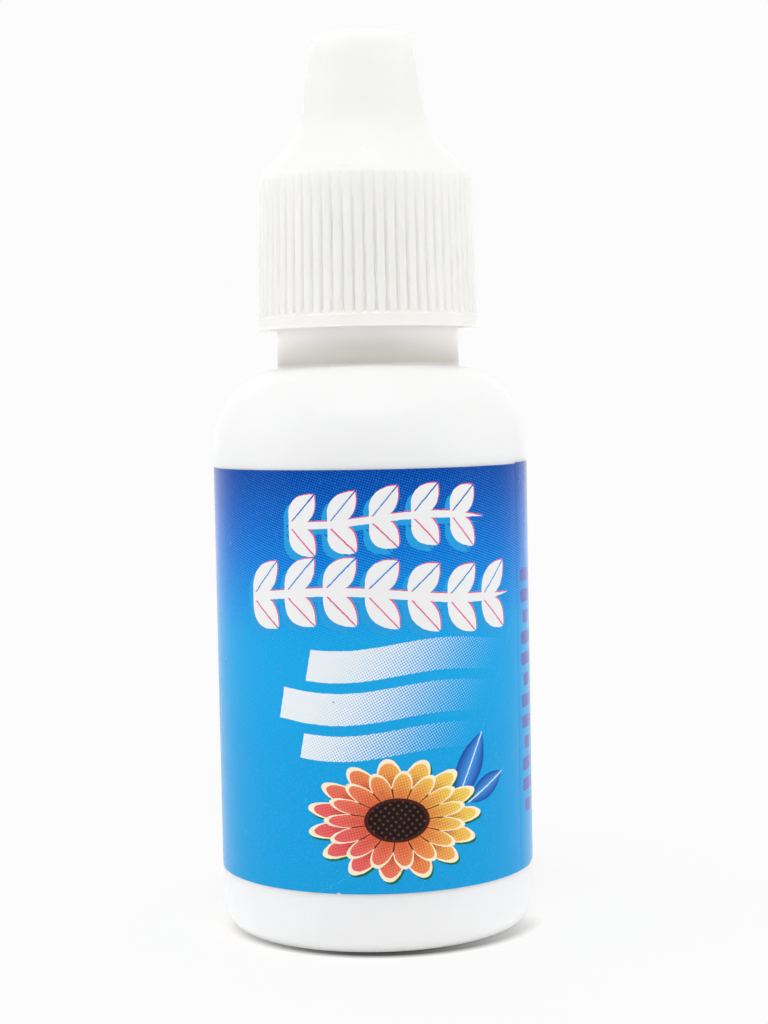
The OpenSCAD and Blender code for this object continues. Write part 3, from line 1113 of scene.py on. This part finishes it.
# Tone of the painted shadows on the floor
painted_shadow_tone = (0.03, 0.03, 0.03)
fade_from = 13.3
fade_share = 0.72
fade_left = 30
fade_right = 90
fade_turn_w = 12
# Painted contact shadow: a dark ring on the floor round the bottle's foot, darkest in front, weaker behind
# and none at the sides
ring_from = 12
ring_to = 13
ring_shift = (0.5, -0.2)
ring_front = (0.1, 1)
ring_front_share = 0.8
ring_front_more = 0.15
ring_rear = (0.3, 0.9)
ring_rear_share = 0.6
# Painted shade on the floor under the foot, seen only by light that bounces off the floor
under_from = 11.4
under_to = 12.6
under_share = 0.5
bounce_tone = (0.87, 0.87, 0.87)
floor_glow = 0.3
glow_from = 120
glow_to = 300
rear_floor_glow = 1.2
rear_from = 110
rear_to = 380

floor_mesh = bpy.data.meshes.new("floor")
half = floor_size / 2 * MM
floor_mesh.from_pydata(
    [(x, y, -floor_drop * MM) for x, y in ((-half, -half), (half, -half), (half, half), (-half, half))],
    [], [(0, 1, 2, 3)],
)
floor = bpy.data.objects.new("floor", floor_mesh)
bpy.context.scene.collection.objects.link(floor)


def paper_shader(tree, colour):
    """Matt shader"""
    shader = tree.nodes.new("ShaderNodeBsdfDiffuse")
    shader.inputs["Color"].default_value = (*colour, 1)
    return shader.outputs[0]


def glow_shader(tree, strength):
    """White glow of a strength given as a number or as a field"""
    shader = tree.nodes.new("ShaderNodeEmission")
    if isinstance(strength, Field):
        tree.links.new(strength.socket, shader.inputs["Strength"])
    else:
        shader.inputs["Strength"].default_value = strength
    shader.inputs["Color"].default_value = (1, 1, 1, 1)
    return shader.outputs[0]


def joined(tree, kind, first, second, share=None):
    """Two shaders added up, or mixed where a share is given"""
    node = tree.nodes.new(kind)
    if share is not None:
        tree.links.new(share, node.inputs[0])
    tree.links.new(first, node.inputs[-2])
    tree.links.new(second, node.inputs[-1])
    return node.outputs[0]


floor_paper = bpy.data.materials.new("floor_paper")
floor_paper.use_nodes = True
tree = floor_paper.node_tree
tree.nodes.remove(tree.nodes["Principled BSDF"])
split = tree.nodes.new("ShaderNodeSeparateXYZ")
tree.links.new(tree.nodes.new("ShaderNodeTexCoord").outputs["Object"], split.inputs[0])
x, y = (Field(tree, socket) / MM for socket in split.outputs[:2])
distance = (x * x + y * y).made("SQRT")
glows = distance.ramp(glow_to, glow_from) * floor_glow
glows = glows + y.ramp(rear_from, rear_to) * rear_floor_glow
bounce = joined(tree, "ShaderNodeAddShader", paper_shader(tree, bounce_tone), glow_shader(tree, glows))
# Painted shade under the foot, in the light that bounces off the floor
painted_under_shade = distance.ramp(under_to, under_from) * under_share
bounce = joined(tree, "ShaderNodeMixShader", bounce, paper_shader(tree, painted_shadow_tone), painted_under_shade.socket)
reach_out = x.ramp(-fade_turn_w, fade_turn_w) * (fade_right - fade_left) + fade_left
fade = (distance - fade_from) / reach_out + fade_share
plain = glow_shader(tree, near_white[0])
seen = joined(tree, "ShaderNodeMixShader", paper_shader(tree, floor_tone), plain, fade.ramp(0, 1).socket)
# Painted contact shadow round the foot, where the camera sees the floor
front = (y * -1 / distance).ramp(*ring_front)
behind = (y / distance).ramp(*ring_rear)
ring_x, ring_y = x - ring_shift[0], y - ring_shift[1]
painted_contact_shadow = (ring_x * ring_x + ring_y * ring_y).made("SQRT").ramp(ring_to, ring_from)
ring = painted_contact_shadow * (front * (front * ring_front_more + ring_front_share) + behind * ring_rear_share)
seen = joined(tree, "ShaderNodeMixShader", seen, paper_shader(tree, painted_shadow_tone), ring.socket)
rays = tree.nodes.new("ShaderNodeLightPath")
surface = joined(tree, "ShaderNodeMixShader", bounce, seen, rays.outputs["Is Camera Ray"])
tree.links.new(surface, tree.nodes["Material Output"].inputs["Surface"])
floor_mesh.materials.append(floor_paper)


# Studio: bright behind the bottle, dark in front of it, and plain white where the camera sees it
back_from_to = (0.05, 0.5)
back_glow = (0.42, 0.55)
lean_from_to = (0.3, -0.3)
rear_from_to = (0.55, 0.95)
rear_glow = 1.1
world = bpy.data.worlds.new("studio")
bpy.context.scene.world = world
world.use_nodes = True
tree = world.node_tree
sky = tree.nodes["Background"]
sky.inputs["Color"].default_value = (1, 1, 1, 1)
split = tree.nodes.new("ShaderNodeSeparateXYZ")
tree.links.new(tree.nodes.new("ShaderNodeTexCoord").outputs["Generated"], split.inputs[0])
x, y = (Field(tree, socket) for socket in split.outputs[:2])
lean = x.ramp(*lean_from_to) * (back_glow[1] - back_glow[0]) + back_glow[0]
back = y.ramp(*back_from_to) * lean + y.ramp(*rear_from_to) * rear_glow
rays = tree.nodes.new("ShaderNodeLightPath")
seen = Field(tree, rays.outputs["Is Camera Ray"])
level = back * (seen * -1 + 1) + seen * near_white[0]
tree.links.new(level.socket, sky.inputs["Strength"])


def softbox(name, place, width, height, power):
    """Soft rectangular lamp that faces the bottle's middle. Places and sizes are in millimetres."""
    data = bpy.data.lights.new(name, "AREA")
    data.shape = "RECTANGLE"
    data.size = width * MM
    data.size_y = height * MM
    data.energy = power
    lamp = bpy.data.objects.new(name, data)
    lamp.location = Vector(place) * MM
    lamp.rotation_euler = (Vector(lamps_aim) - Vector(place)).to_track_quat("-Z", "Y").to_euler()
    bpy.context.scene.collection.objects.link(lamp)


# Lamps: name, place, width, height and power
lamps_aim = (0, 0, 35)
lamps = (
    ("top_lamp", (0, 0, 450), 420, 420, 0.4),
    ("front_top_lamp", (0, -240, 400), 380, 180, 1.22),
    ("left_lamp", (-380, -60, 190), 320, 320, 0.6),
    ("right_lamp", (380, -60, 190), 320, 320, 0.58),
)
for lamp in lamps:
    softbox(*lamp)

bpy.context.view_layer.update()
